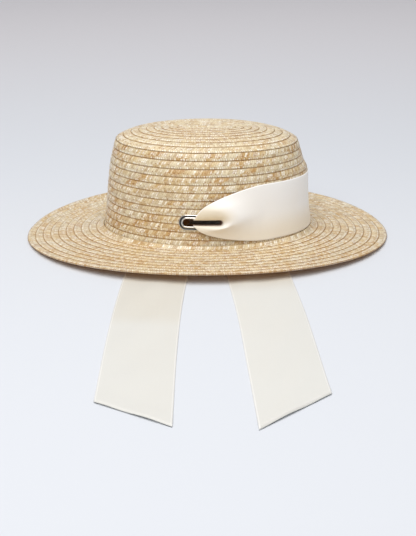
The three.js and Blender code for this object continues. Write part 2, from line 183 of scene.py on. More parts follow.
def crown_surface(level, angle):
    """The crown's outside. Level 0 is the middle of the tip, 1 the shoulder and 2 the crease."""
    level, angle = np.broadcast_arrays(np.asarray(level, float), np.asarray(angle, float))
    right = np.maximum(0, np.cos(angle)) ** 2
    half_length, half_depth = SHOULDER_LENGTH / 2, SHOULDER_DEPTH / 2
    core = half_length - half_depth
    tip = np.minimum(level, 1)
    tip_point = (
        (core + tip * half_depth) * np.cos(angle),
        tip * half_depth * np.sin(angle),
        SHOULDER_HEIGHT + DOME_RISE * (1 - np.abs(tip) ** DOME_POWER) - SHOULDER_SAG * right * tip,
    )
    up = 2 - np.maximum(level, 1)
    taper = np.where(up > 0, table_value(CROWN_TAPER, 1, np.clip(up, 0, 1)), 0)
    swell = np.where(up > 0, table_value(RIGHT_SWELL, 1, np.clip(up, 0, 1)), 0) * right
    sag = SHOULDER_SAG * right * smooth_step(up, 0.7, 1)
    side_point = (
        (CROWN_LENGTH / 2 + (half_length - CROWN_LENGTH / 2) * taper + swell) * np.cos(angle),
        (CROWN_DEPTH / 2 + (half_depth - CROWN_DEPTH / 2) * taper) * np.sin(angle),
        CREASE_HEIGHT + (SHOULDER_HEIGHT - CREASE_HEIGHT) * up - sag,
    )
    return np.stack([np.where(level <= 1, a, b) for a, b in zip(tip_point, side_point)], -1)


def crown_point(level, angle, outward):
    level, angle, outward = np.broadcast_arrays(*(np.asarray(v, float) for v in (level, angle, outward)))
    step = 1e-3
    low = np.maximum(level - step, step)
    along_level = crown_surface(low + 2 * step, angle) - crown_surface(low, angle)
    along_angle = crown_surface(low + step, angle + step) - crown_surface(low + step, angle - step)
    normal = unit(np.cross(along_level, along_angle))
    return crown_surface(level, angle) + normal * outward[..., None]


EYELET_LEVEL = 2 - (EYELET_HEIGHT - CREASE_HEIGHT) / (SHOULDER_HEIGHT - CREASE_HEIGHT)
WALL_RADIUS = float(crown_surface(EYELET_LEVEL, 0)[0])
BAND_END = WALL_RADIUS * math.pi / 2


def wall_point(side, along, height, outward):
    """A place on the crown's wall from its distance to the right of an eyelet's middle, its height
    and its stand-off. Side is -1 at the front and 1 at the back."""
    level = 2 - (np.asarray(height) - CREASE_HEIGHT) / (SHOULDER_HEIGHT - CREASE_HEIGHT)
    turn = math.pi / 2 - np.asarray(along) / WALL_RADIUS
    return crown_point(level, side * turn, outward)


def brim_height(out, angle):
    rise = np.maximum(0, np.abs(np.sin(angle)) - RESTING_SHARE) / (1 - RESTING_SHARE)
    edge = STRAW_WALL + BRIM_LIFT * rise**BRIM_LIFT_POWER
    return CREASE_HEIGHT + (edge - CREASE_HEIGHT) * np.maximum(0, out) / BRIM_WIDTH


def brim_point(out, angle, lift):
    """A place on the brim from its distance out of the crown's foot and its lift off the brim."""
    a, b = CROWN_LENGTH / 2, CROWN_DEPTH / 2
    normal = unit(np.stack([b * np.cos(angle), a * np.sin(angle)], -1))
    x = a * np.cos(angle) + out * normal[..., 0]
    y = b * np.sin(angle) + out * normal[..., 1]
    return np.stack([x, y, brim_height(out, angle) + lift], -1)


# Mesh helpers


def finished(name, bm, material, slot, *replaced):
    """Turns a bmesh into a shown piece that rides on the hat and stands for a solid."""
    mesh = bpy.data.meshes.new(name)
    bm.to_mesh(mesh)
    bm.free()
    mesh.shade_smooth()
    piece = bpy.data.objects.new(name, mesh)
    bpy.context.collection.objects.link(piece)
    mesh.materials.append(material)
    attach(piece, "root")
    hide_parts(*replaced)
    return piece


def add_ring(bm, loops, across, strands, row):
    """Adds a ring: a circle of points, extruded from loop to loop and back to the first. The
    pattern's map counts strands along the ring, and across it holds the row and the share of the
    row's width."""
    layers = bm.verts.layers.int
    step_layer = layers.get("step") or layers.new("step")
    loop_layer = layers.get("loop") or layers.new("loop")
    steps = len(loops[0])
    start = bmesh.ops.create_circle(bm, cap_ends=False, radius=1, segments=steps)["verts"]
    for k, vert in enumerate(start):
        vert[step_layer] = k
        vert[loop_layer] = 0
        vert.co = loops[0][k]
    first = list({edge for vert in start for edge in vert.link_edges})
    edges = first
    faces = []
    for j in range(1, len(loops)):
        grown = bmesh.ops.extrude_edge_only(bm, edges=edges)["geom"]
        edges = [g for g in grown if isinstance(g, bmesh.types.BMEdge) and len(g.link_faces) == 1]
        faces += [g for g in grown if isinstance(g, bmesh.types.BMFace)]
        for vert in (g for g in grown if isinstance(g, bmesh.types.BMVert)):
            vert[loop_layer] = j
            vert.co = loops[j][vert[step_layer]]
    faces += bmesh.ops.bridge_loops(bm, edges=first + edges)["faces"]
    uv = bm.loops.layers.uv.get("pattern") or bm.loops.layers.uv.new("pattern")
    last = len(loops) - 1
    for face in faces:
        places = [(corner.vert[step_layer], corner.vert[loop_layer]) for corner in face.loops]
        turned = max(k for k, _ in places) - min(k for k, _ in places) > 1
        wrapped = {j for _, j in places} == {0, last}
        for corner, (k, j) in zip(face.loops, places):
            k = k + steps if turned and k < steps / 2 else k
            v = across[last] if wrapped else across[j]
            corner[uv].uv = (k * strands / steps, row + v)
    bmesh.ops.recalc_face_normals(bm, faces=faces)
    return faces


def even_angles(curve, spacing):
    """Angles that step evenly along a closed curve, two to a strand, and the count of strands."""
    fine = np.linspace(0, 2 * math.pi, 2001)
    points = curve(fine)
    gone = np.concatenate([[0], np.cumsum(np.linalg.norm(np.diff(points, axis=0), axis=1))])
    strands = max(LEAST_STRANDS, round(gone[-1] / spacing))
    steps = 2 * strands
    return np.interp(np.arange(steps) * gone[-1] / steps, gone, fine), strands


# Shader helpers


class Value:
    """A value in a shader. Arithmetic on it adds Math nodes."""

    def __init__(self, tree, socket):
        self.tree = tree
        self.socket = socket

    def math(self, operation, *others):
        node = self.tree.nodes.new("ShaderNodeMath")
        node.operation = operation
        for place, value in zip(node.inputs, (self, *others)):
            plug(self.tree, place, value)
        return Value(self.tree, node.outputs[0])

    def __add__(self, other):
        return self.math("ADD", other)

    def __sub__(self, other):
        return self.math("SUBTRACT", other)

    def __rsub__(self, other):
        return (self * -1).math("ADD", other)

    def __mul__(self, other):
        return self.math("MULTIPLY", other)

    def __pow__(self, other):
        return self.math("POWER", other)

    __radd__ = __add__
    __rmul__ = __mul__

    def fraction(self):
        return self.math("FRACT")

    def floor(self):
        return self.math("FLOOR")

    def hump(self):
        """0 at whole numbers and 1 halfway between them."""
        return (self.fraction() * math.pi).math("SINE")

    def between(self, low, high):
        """0 below low, 1 above high, smooth in between."""
        node = self.tree.nodes.new("ShaderNodeMapRange")
        node.interpolation_type = "SMOOTHSTEP"
        plug(self.tree, node.inputs["Value"], self)
        node.inputs["From Min"].default_value = low
        node.inputs["From Max"].default_value = high
        return Value(self.tree, node.outputs["Result"])


def plug(tree, socket, value):
    if isinstance(value, Value):
        tree.links.new(value.socket, socket)
    else:
        socket.default_value = value


class Finish:
    """A material of one Principled surface, built node by node."""

    def __init__(self, name, **scalars):
        self.material = bpy.data.materials.new(name)
        self.material.use_nodes = True
        self.tree = self.material.node_tree
        self.surface = self.tree.nodes["Principled BSDF"]
        for socket, value in scalars.items():
            self.surface.inputs[socket.replace("_", " ")].default_value = value

    def node(self, kind, output=0, settings=None, **inputs):
        """Adds a node, makes its settings, then fills its inputs. An input's name has _ for a space."""
        node = self.tree.nodes.new("ShaderNode" + kind)
        for name, value in (settings or {}).items():
            setattr(node, name, value)
        for name, value in inputs.items():
            key = int(name[1:]) if name[0] == "i" and name[1:].isdigit() else name.replace("_", " ")
            plug(self.tree, node.inputs[key], value)
        return Value(self.tree, node.outputs[output])

    def mix(self, factor, first, second, blend="MIX"):
        """Mixes two colours."""
        colours = [c if isinstance(c, Value) else (*c, 1) for c in (first, second)]
        settings = {"data_type": "RGBA", "blend_type": blend, "clamp_factor": True}
        return self.node("Mix", 2, settings, i0=factor, i6=colours[0], i7=colours[1])

    def noise(self, scale, vector, detail, roughness=0.5):
        look = {"Scale": scale, "Detail": detail, "Roughness": roughness}
        return self.node("TexNoise", 0, None, Vector=vector, **look)

    def hash(self, a, b):
        """A number from 0 to 1 that belongs to a pair of whole numbers."""
        place = self.node("CombineXYZ", X=a, Y=b, Z=0.37)
        return self.node("TexWhiteNoise", 0, {"noise_dimensions": "3D"}, Vector=place)

    def pattern(self):
        """The pattern's map, and its values along and across."""
        uv = self.node("UVMap", 0, {"uv_map": "pattern"})
        return uv, self.node("SeparateXYZ", 0, Vector=uv), self.node("SeparateXYZ", 1, Vector=uv)

    def object_place(self):
        """The place on the piece in metres."""
        return self.node("TexCoord", 3)

    def set(self, **values):
        for name, value in values.items():
            plug(self.tree, self.surface.inputs[name.replace("_", " ")], value)

    def bump(self, height, distance, strength):
        self.set(Normal=self.node("Bump", Height=height, Distance=distance, Strength=strength))


def straw_finish(name, colours):
    """Sewn straw plait: slanting strands, pinholes between them in the middle of each row, painted
    as dark spots of shade, pale knuckles at its lower edge, partly a painted highlight, and
    slanting stretches of several strands that share a tone. Painted shade darkens the gaps
    between the strands' crests and both edges of each row, and painted glints light some crests.
    The tip's and the brim's rows are more even than the wall's, and the tip's paler: painted
    light from above. Where the straw faces down, a weak painted glow stands for the light that
    seeps through it."""
    deep, usual, pale, silver, pearl_glint, dark_tone_and_shade, seeping = colours
    finish = Finish(name, Coat_Weight=0.6, Coat_Roughness=0.3)
    uv, count, across = finish.pattern()
    where = finish.object_place()
    row = across.floor()
    wander = finish.noise(0.4, uv, 1.0) - 0.5
    fine = finish.noise(620.0, where, 2.0, 0.6)
    rough = finish.noise(150.0, where, 1.0)
    share = across.fraction()
    ragged = share + (fine - 0.5) * 0.12
    along = count + wander * 1.2
    lower = share.between(0.6, 0.66)
    slanted = along + row * 0.37 + share * 1.5 * (1 - lower) + lower * (1.2 - 0.9 * share)
    strand = slanted.floor()
    chance = finish.hash(strand, row * 3.1 + lower)
    chance_two = finish.hash(strand + 5.7, row * 1.7 + lower * 2.0)
    stretch = (along * 0.15 + share * 0.8 + row * 0.61 + rough * 0.5).floor()
    patch = finish.hash(stretch, row)
    on_brim = row.between(BRIM_FIRST_ROW - 10, BRIM_FIRST_ROW - 1)
    on_wall = row.between(TIP_ROWS - 0.8, TIP_ROWS - 0.2) * (1 - on_brim)
    # Painted light: on the tip and the brim, which face the light overhead, the deep patches are held
    # back, so these rows are lighter and more even than the wall's.
    colour = finish.mix(patch.between(0.15, 0.5).math("MAXIMUM", (1 - on_wall) * 0.6), deep, usual)
    colour = finish.mix(patch.between(0.5, 0.85) * 0.75, colour, silver)
    # Painted light: the tip's rows are painted paler, as if lit from above.
    colour = finish.mix((1 - row.between(TIP_ROWS - 1.8, TIP_ROWS - 0.2)) * 0.35, colour, pale)
    colour = finish.mix(chance.between(0.4, 0.95) * 0.6, colour, pale)
    colour = finish.mix((1 - chance).between(0.55, 1.0) * 0.35, colour, dark_tone_and_shade)
    colour = finish.mix(fine.between(0.5, 0.72) * 0.55, colour, pale)
    colour = finish.mix((1 - fine).between(0.52, 0.74) * 0.4, colour, dark_tone_and_shade)
    crest = slanted.hump().math("MAXIMUM", 0.0) ** 0.5
    bead = (share * 3.0 + chance).hump().math("MAXIMUM", 0.0) ** 0.7
    # Painted highlight: pearly glints painted on the crests of some strands near the top of each row.
    painted_glint = chance_two.between(0.5, 0.85) * crest * bead * share.between(0.08, 0.2) * (1 - lower * 0.6)
    colour = finish.mix(painted_glint * 0.75, colour, pearl_glint)
    # Painted shade: the straw is painted darker between the strands' crests.
    colour = finish.mix((1 - crest).between(0.3, 0.9) * 0.36, colour, dark_tone_and_shade)
    pair = along * 0.5 + row * 0.5
    hole = spot(pair.fraction(), 0.0044, share - 0.55, 0.0075, 0.00025, 0.0009)
    hole = hole * finish.hash(pair.floor(), row + 0.7).between(0.25, 0.55)
    single = along + row * 0.3
    # Pale knuckles where the strands fold at the lower edge: partly the straw's paler fold, partly a
    # painted highlight.
    knuckle = spot(single.fraction(), 0.0022, share - 0.84, 0.0075, 0.0003, 0.001)
    knuckle = knuckle * finish.hash(single.floor(), row + 0.3).between(0.3, 0.8)
    colour = finish.mix(knuckle * 0.8, colour, pearl_glint)
    # Painted shade: the pinholes are painted as dark spots.
    colour = finish.mix(hole * 0.75, colour, dark_tone_and_shade)
    # Painted shade: a thin dark line along both edges of each row, where the rows lap and shade each
    # other.
    edge = 1 - ragged.between(0.0, 0.05) * (1 - ragged.between(0.9, 0.97))
    colour = finish.mix(edge * (0.3 + chance_two * 0.5), colour, dark_tone_and_shade)
    finish.set(Base_Color=colour, Roughness=0.5 - painted_glint * 0.2 + chance * 0.1)
    finish.set(Coat_Weight=0.6 * (1 - edge))
    # Painted glow: faces that point down glow faintly in the seeping colour, standing in for light through
    # the straw and warming the shade under the brim.
    facing_up = finish.node("SeparateXYZ", 2, Vector=finish.node("TexCoord", 1))
    painted_glow = finish.mix(facing_up.between(-0.7, -0.2), seeping, (0.0, 0.0, 0.0))
    finish.set(Emission_Color=painted_glow, Emission_Strength=0.12)
    relief = crest * (1 - hole) * (1 - edge * 0.5) + fine * 0.35
    finish.bump(relief, 0.0004, 0.8)
    return finish.material


def spot(x, width, y, height, inner, outer):
    """A round spot in the middle of a cell, from its place in it in metres: 1 within, 0 outside."""
    beside = (x - 0.5) * width
    above = y * height
    return 1 - (beside * beside + above * above).math("SQRT").between(inner, outer)


def satin_finish(name, colours):
    """Ribbon satin: a fine close weave with a soft sheen along it, and a firmer edge each side. The
    pattern's map holds the distance past an eyelet, less than 0 on the crown, and that across."""
    colour, warm_and_shade, tail_shade, throat_shade, fold = colours
    finish = Finish(name, Roughness=0.42, Sheen_Weight=0.25, Sheen_Roughness=0.4, Anisotropic=0.4)
    _, along, across = finish.pattern()
    where = finish.object_place()
    threads = (across * 3800.0).hump() * 0.7 + (along * 2600.0).hump() * 0.3
    cloud = finish.noise(16.0, where, 2.0)
    streak = finish.noise(1.0, finish.node("CombineXYZ", X=along * 8.0, Y=across * 420.0), 1.0)
    half = RIBBON_WIDTH / 2
    near_edge = (across - half).math("ABSOLUTE").between(half - 0.0016, half - 0.0011)
    # Painted shade: the ribbon is painted warmer and darker towards its lower edge, the side turned away
    # from the light overhead.
    lower = (1 - across.between(0.004, 0.03)) * 0.7
    mixed = finish.mix(cloud.between(0.35, 0.75) * 0.25 + lower * 0.7, colour, warm_and_shade)
    mixed = finish.mix(lower * 0.4, mixed, fold)
    mixed = finish.mix((1 - threads) * 0.06, mixed, warm_and_shade)
    # Painted shade: beige painted inside the upper lip, where the ribbon turns into the eyelet.
    inside = along.between(-0.026, -0.006) * (0.25 + across.between(0.027, 0.036) * 0.6)
    mixed = finish.mix(inside, mixed, fold)
    # Painted shade: the tails are painted a darker copy of the satin, darker still near the brim as a
    # painted shadow of it, with a little random cloud.
    shaded = (1 - along.between(0.255, 0.29)) * 0.3 + cloud * 0.12
    shaded_tails = finish.mix(shaded, tail_shade, warm_and_shade, "MULTIPLY")
    mixed = finish.mix(along.between(0.004, 0.03), mixed, shaded_tails)
    mixed = finish.mix(near_edge * 0.4, mixed, colour)
    # Painted shade: deep in the fold inside an eyelet the satin is painted brown.
    hole_shade = along.between(-0.001, 0.002) * (1 - along.between(0.012, 0.02))
    mixed = finish.mix(hole_shade * 0.9, mixed, throat_shade)
    finish.set(Base_Color=mixed, Roughness=0.36 + streak * 0.14 + near_edge * 0.12)
    finish.bump(threads * 0.4 + streak * 0.5 + near_edge * 0.3, 0.00006, 0.6)
    return finish.material


def metal_finish(name, bright, dark_reflection):
    """Polished metal, smudged and finely scratched, with a painted dark reflection in the groove round the
    ring.
    """
    finish = Finish(name, Metallic=1.0, Roughness=0.14)
    _, _, across = finish.pattern()
    where = finish.object_place()
    smudge = finish.noise(240.0, where, 3.0)
    scratch = finish.noise(2600.0, where, 1.0)
    # Painted reflection: the groove round the ring is painted near black, standing in for the dark
    # reflection it shows, and is made rougher.
    groove_reflection_mask = across.between(0.14, 0.17) * (1 - across.between(0.45, 0.48))
    mixed = finish.mix(groove_reflection_mask * 0.92, bright, dark_reflection)
    finish.set(Base_Color=mixed, Roughness=0.12 + smudge * 0.12 + groove_reflection_mask * 0.25)
    finish.bump(scratch * 0.4 + smudge * 0.3, 0.00002, 0.3)
    return finish.material


def paper_finish(name, near, far):
    """A plain matte surface, with painted light that makes it lighter far behind the hat."""
    finish = Finish(name, Roughness=0.9, Specular_IOR_Level=0.15)
    where = finish.object_place()
    depth = finish.node("SeparateXYZ", 1, Vector=where)
    grain = finish.noise(900.0, where, 2.0)
    # Painted light: the surface is painted lighter far behind the hat.
    mixed = finish.mix(depth.between(0.2, 1.6), near, far)
    mixed = finish.mix(grain * 0.02, mixed, far)
    finish.set(Base_Color=mixed, Roughness=0.85 + grain * 0.1)
    return finish.material


# Property groups


class BoaterSizes(bpy.types.PropertyGroup):
    strand_spacing: FloatProperty(
        name="Strand spacing", description="Distance between the plait's strands along a row",
        default=0.0022, min=0.001, subtype="DISTANCE",
    )
    row_bulge: FloatProperty(
        name="Row bulge", description="How far the middle of a plait row stands above its edges",
        default=0.0005, min=0, subtype="DISTANCE",
    )
    ribbon_thickness: FloatProperty(
        name="Ribbon thickness", description="Thickness of the satin",
        default=0.0004, min=0.0001, subtype="DISTANCE",
    )
    tail_ripple: FloatProperty(
        name="Tail ripple", description="How far the tails lift off the surface in their ripples",
        default=0.0011, min=0, subtype="DISTANCE",
    )


class BoaterColours(bpy.types.PropertyGroup):
    straw_deep: FloatVectorProperty(
        name="Deep straw", description="Colour of the darkest strands",
        default=linear(194, 154, 90), size=3, min=0, max=1, subtype="COLOR",
    )
    straw_usual: FloatVectorProperty(
        name="Straw", description="Colour of most strands",
        default=linear(211, 184, 132), size=3, min=0, max=1, subtype="COLOR",
    )
    straw_pale: FloatVectorProperty(
        name="Pale straw", description="Colour of the lighter strands",
        default=linear(237, 224, 190), size=3, min=0, max=1, subtype="COLOR",
    )
    straw_silver: FloatVectorProperty(
        name="Silvery straw", description="Colour of the stretches with a silvery skin",
        default=linear(205, 190, 156), size=3, min=0, max=1, subtype="COLOR",
    )
    # Pearly straw: the colour of the painted glints on the strands' crests, and of the pale knuckles,
    # which are partly a painted highlight.
    straw_pearl_glint: FloatVectorProperty(
        name="Pearly straw", description="Colour of the strands that shine",
        default=linear(255, 250, 238), size=3, min=0, max=1, subtype="COLOR",
    )
    # Dark straw and painted shade: the colour of the random darker strands, and of the shade painted
    # between the strands, in the pinholes and along the rows' edges.
    straw_gap: FloatVectorProperty(
        name="Straw gaps", description="Colour between the strands and along the rows' edges",
        default=linear(150, 92, 24), size=3, min=0, max=1, subtype="COLOR",
    )
    # Painted glow on the straw's underside, standing in for the light that seeps through it.
    straw_seeping: FloatVectorProperty(
        name="Seeping light", description="Colour of the light that seeps through to the underside",
        default=linear(190, 118, 48), size=3, min=0, max=1, subtype="COLOR",
    )
    satin: FloatVectorProperty(
        name="Satin", description="Colour of the ribbon",
        default=linear(248, 246, 243), size=3, min=0, max=1, subtype="COLOR",
    )
    # Warm satin: the ribbon's random warm tint and its threads, and the painted shade on its lower edge
    # and on the tails near the brim.
    satin_warm_and_shade: FloatVectorProperty(
        name="Warm satin", description="Colour of the ribbon in its folds and threads",
        default=linear(240, 230, 212), size=3, min=0, max=1, subtype="COLOR",
    )
    # Painted shade: a darker copy of the satin, painted on the tails.
    satin_tail_shade: FloatVectorProperty(
        name="Dull satin", description="Colour of the ribbon's dull side, which the tails show",
        default=linear(218, 217, 211), size=3, min=0, max=1, subtype="COLOR",
    )
    # Painted shade: the brown painted deep in the fold inside an eyelet.
    satin_throat_shade: FloatVectorProperty(
        name="Satin in the eyelet", description="Colour deep in the fold inside an eyelet",
        default=linear(176, 132, 100), size=3, min=0, max=1, subtype="COLOR",
    )
    # Painted shade: the beige painted inside the upper lip next to an eyelet and along the ribbon's lower
    # edge.
    satin_fold_shade: FloatVectorProperty(
        name="Satin in the fold", description="Colour inside the upper lip, next to an eyelet",
        default=linear(226, 208, 172), size=3, min=0, max=1, subtype="COLOR",
    )
    eyelet_bright: FloatVectorProperty(
        name="Eyelet", description="Colour of the polished metal",
        default=linear(226, 222, 214), size=3, min=0, max=1, subtype="COLOR",
    )
    # Painted reflection: the near-black colour painted in the eyelet's groove.
    eyelet_groove_reflection: FloatVectorProperty(
        name="Eyelet groove", description="Colour of the metal in the groove",
        default=linear(16, 14, 14), size=3, min=0, max=1, subtype="COLOR",
    )


class BoaterStage(bpy.types.PropertyGroup):
    floor_colour: FloatVectorProperty(
        name="Surface", description="Colour of the surface near the hat",
        default=linear(210, 213, 218), size=3, min=0, max=1, subtype="COLOR",
    )
    # Painted light: the lighter tone painted on the surface far behind the hat.
    far_colour: FloatVectorProperty(
        name="Far surface", description="Colour of the surface far behind the hat",
        default=linear(232, 229, 231), size=3, min=0, max=1, subtype="COLOR",
    )
    top_light: FloatProperty(
        name="Top light", description="Strength of the large light overhead",
        default=23.0, min=0, unit="POWER",
    )
    front_light: FloatProperty(
        name="Front light", description="Strength of the light in front and to the left",
        default=20.0, min=0, unit="POWER",
    )
    fill_light: FloatProperty(
        name="Fill light", description="Strength of the even light from all round",
        default=0.47, min=0,
    )


# Pieces


def row_section(outer_end, bulge):
    """The section of a plait row: shares of its width, stand-offs and pattern shares. It runs over
    the top from the tucked edge to the proud one, and back underneath."""
    return [
        (-0.14, -1.5 * ROW_STEP, 0.0), (0.02, -ROW_STEP - 0.2 * bulge, 0.02),
        (0.14, -0.25 * bulge - 0.35 * ROW_STEP, 0.14), (0.36, 0.25 * bulge, 0.36),
        (0.64, 0.3 * bulge, 0.64), (0.88, 0.0, 0.88), (outer_end, -0.45 * bulge, 0.99),
        (outer_end, -1.1 * ROW_STEP, 0.97), (0.8, -STRAW_WALL, 0.75), (-0.06, -STRAW_WALL, 0.25),
    ]


def ragged_edge(steps, row):
    """How far each step along a row's proud edge stands out or back, strand by strand."""
    k = np.arange(steps)
    uneven = np.abs(np.sin(k * 12.9898 + row * 78.233) * 43758.5453) % 1
    return np.where(k % 2, 1, -1) * ROW_RAGGEDNESS * uneven


def build_crown(sizes, material):
    bm = bmesh.new()
    side_rows = round((SHOULDER_HEIGHT - CREASE_HEIGHT) / PLAIT_WIDTH)
    edges = [i / TIP_ROWS for i in range(TIP_ROWS)]
    edges += [1 + i / side_rows for i in range(side_rows + 1)]
    for row, (start, end) in enumerate(zip(edges, edges[1:])):
        width = end - start
        middle = (start + end) / 2
        angles, strands = even_angles(lambda a: crown_surface(middle, a), sizes.strand_spacing)
        last = row == len(edges) - 2
        section = row_section(1.25 if last else 1.03, sizes.row_bulge)
        scallop = ragged_edge(len(angles), row)
        loops = []
        for share, outward, _ in section:
            level = np.maximum(start + share * width, 0.003)
            proud = scallop * (0.8 < share) * (outward > -0.001)
            loops.append(crown_point(level, angles, outward + proud))
        add_ring(bm, loops, [v for _, _, v in section], strands, row)
    for side in (-1, 1):
        open_slot(bm, side)
    return finished("crown_plait", bm, material, "straw_crown", "crown")


def wall_lean():
    """How much of a height on the leaning wall is left when seen from the side."""
    rise = SHOULDER_HEIGHT - CREASE_HEIGHT
    return math.cos(math.atan2(CROWN_DEPTH - SHOULDER_DEPTH, 2 * rise))


def open_slot(bm, side):
    """Takes away the straw inside an eyelet's ring."""
    reach = HOLE_HEIGHT / 2 + EYELET_BARREL_WALL + PIECE_GAP
    half = (HOLE_LENGTH - HOLE_HEIGHT) / 2
    gone = []
    for vert in bm.verts:
        x, y, z = vert.co
        if y * side < 0.06 or abs(x) > 0.04 or abs(z - EYELET_HEIGHT) > 0.02:
            continue
        turn = math.atan2(abs(y) / CROWN_DEPTH, x / CROWN_LENGTH)
        along = (math.pi / 2 - turn) * WALL_RADIUS
        beyond = max(abs(along) - half, 0)
        if math.hypot(beyond, (z - EYELET_HEIGHT) / wall_lean()) < reach:
            gone.append(vert)
    bmesh.ops.delete(bm, geom=gone, context="VERTS")


def build_brim(sizes, material):
    bm = bmesh.new()
    rows = round(BRIM_WIDTH / PLAIT_WIDTH)
    width = BRIM_WIDTH / rows
    for row in range(rows):
        start = row * width
        middle = start + width / 2
        angles, strands = even_angles(lambda a: brim_point(middle, a, 0), sizes.strand_spacing)
        last = row == rows - 1
        section = row_section(1.0 if last else 1.03, sizes.row_bulge)
        if row == 0:
            rim = PIECE_GAP / width
            section = [
                (rim, -STRAW_WALL, 0.0), (rim, COLLAR_RISE - 0.0004, 0.05), (rim + 0.06, COLLAR_RISE, 0.1),
                (rim + 0.16, COLLAR_RISE - 0.0003, 0.16), (0.28, 0.0012, 0.26), (0.4, 0.0004, 0.38),
                (0.64, 0.0001, 0.64), (0.88, 0.0, 0.88), (1.03, -0.0003, 0.99), (1.03, -0.0006, 0.97),
                (0.8, -STRAW_WALL, 0.75),
            ]
        scallop = ragged_edge(len(angles), row + BRIM_FIRST_ROW)
        loops = []
        for share, lift, _ in section:
            out = start + share * width + scallop * (0.8 < share)
            if last and lift <= -STRAW_WALL:
                edge = brim_height(BRIM_WIDTH, angles) - brim_height(start + share * width, angles)
                lift = lift + edge
            loops.append(brim_point(out, angles, lift))
        add_ring(bm, loops, [v for _, _, v in section], strands, row + BRIM_FIRST_ROW)
    return finished("brim_plait", bm, material, "straw_brim", "brim")


def eyelet_outline(widen):
    """A rounded oblong round an eyelet's hole, widened by some distance."""
    radius = HOLE_HEIGHT / 2 + widen
    half = (HOLE_LENGTH - HOLE_HEIGHT) / 2
    line = np.arange(EYELET_STRAIGHT_STEPS) / EYELET_STRAIGHT_STEPS
    turn = math.pi * np.arange(EYELET_END_STEPS) / EYELET_END_STEPS
    along = [half - 2 * half * line, radius * np.cos(math.pi / 2 + turn) - half]
    along += [2 * half * line - half, radius * np.cos(turn - math.pi / 2) + half]
    rise = [np.full_like(line, radius), radius * np.sin(math.pi / 2 + turn)]
    rise += [np.full_like(line, -radius), radius * np.sin(turn - math.pi / 2)]
    return np.concatenate(along), np.concatenate(rise)


def build_eyelet(side, name, material):
    """A ring with a rounded outer bead, a groove and an inner lip, a barrel, and a flat ring inside.
    Its section's rows are the distance outside the hole, the stand-off and the pattern's share."""
    low = PIECE_GAP
    high = PIECE_GAP + EYELET_SHEET
    back = -STRAW_WALL - PIECE_GAP
    rear = -STRAW_WALL - 0.0007
    section = [
        (0.0, low * 0.5, 0.02), (0.0, high - 0.0005, 0.04), (0.0001, high - 0.0002, 0.06),
        (0.0004, high, 0.08), (0.0013, high - 0.00005, 0.14), (0.0016, high - 0.0004, 0.17),
        (0.0021, high - 0.00055, 0.26), (0.0026, high - 0.0004, 0.35), (0.003, high - 0.0001, 0.42),
        (0.0033, high, 0.46), (0.0037, high - 0.0001, 0.5), (0.004, high - 0.0004, 0.53),
        (0.00415, high - 0.0008, 0.55), (EYELET_RIM, low, 0.58), (EYELET_BARREL_WALL, low, 0.67),
        (EYELET_BARREL_WALL, back, 0.71), (EYELET_RIM, back, 0.76), (EYELET_RIM, rear, 0.81),
        (0.0028, rear - 0.0002, 0.86), (0.0002, rear - 0.0002, 0.9), (0.0, rear, 0.95),
    ]
    loops = []
    for widen, outward, _ in section:
        along, rise = eyelet_outline(widen)
        loops.append(wall_point(side, along, EYELET_HEIGHT + rise * wall_lean(), outward))
    bm = bmesh.new()
    add_ring(bm, loops, [share for _, _, share in section], 60, 0)
    return finished(name, bm, material, "eyelet_metal", name.replace("_ring", ""))


# Ribbon


def fold_radius():
    return (HOLE_HEIGHT - SOLID_RIBBON) / 2 - PIECE_GAP


def folded_leg():
    return (RIBBON_WIDTH - math.pi * fold_radius()) / 2


def folded_section(share):
    """The ribbon folded in two inside an eyelet, its edges to the left: along and rise."""
    radius = fold_radius()
    length = np.abs(share) * RIBBON_WIDTH / 2
    turn = np.minimum(length / radius, math.pi / 2)
    along = GATHER_APEX - radius + radius * np.cos(turn) - (length - turn * radius)
    return along, np.sign(share) * radius * np.sin(turn)


def gathered(side, shares, t, thickness):
    """The ribbon on the crown, from the eyelet at t = 0 over the lips' crest to the flat band at 1."""
    along, rise = folded_section(shares)
    height = BAND_BOTTOM + (BAND_TOP - BAND_BOTTOM) * (shares + 1) / 2
    reach = np.abs(shares)
    column = np.where(shares > 0, table_value(LIP_CREST, 2, reach), -table_value(LIP_CREST, 3, reach))
    right = table_value(LIP_CREST, 1, reach)
    crest = (along + right, EYELET_HEIGHT + column, table_value(LIP_CREST, 4, reach))
    lip = PIECE_GAP + EYELET_SHEET + SOLID_RIBBON / 2 + LIP_STAND_OFF
    start = (along, EYELET_HEIGHT + rise, lip)
    end = (GATHER_REACH, height, PIECE_GAP + thickness / 2)
    slopes = (
        (0, CREST_RUN * (GATHER_REACH - along), GATHER_SLOPE * (GATHER_REACH - along)),
        (0, CREST_CLIMB * (height - EYELET_HEIGHT - rise), 0),
        (CREST_LIFT * (crest[2] - lip) / CREST_PLACE, 0, 0),
    )
    place = []
    for a, c, b, (first, middle, last) in zip(start, crest, end, slopes):
        if t < CREST_PLACE:
            place.append(hermite(a, c, first * CREST_PLACE, middle * CREST_PLACE, t / CREST_PLACE))
        else:
            rest = 1 - CREST_PLACE
            place.append(hermite(c, b, middle * rest, last * rest, (t - CREST_PLACE) / rest))
    return wall_point(side, *place)


def band(side, along, shares, thickness):
    dip = BAND_DIP * smooth_step(along / BAND_END, BAND_DIP_START, 1)
    height = BAND_BOTTOM + (BAND_TOP - BAND_BOTTOM) * (shares + 1) / 2 - dip
    return wall_point(side, np.full_like(shares, along), height, PIECE_GAP + thickness / 2)


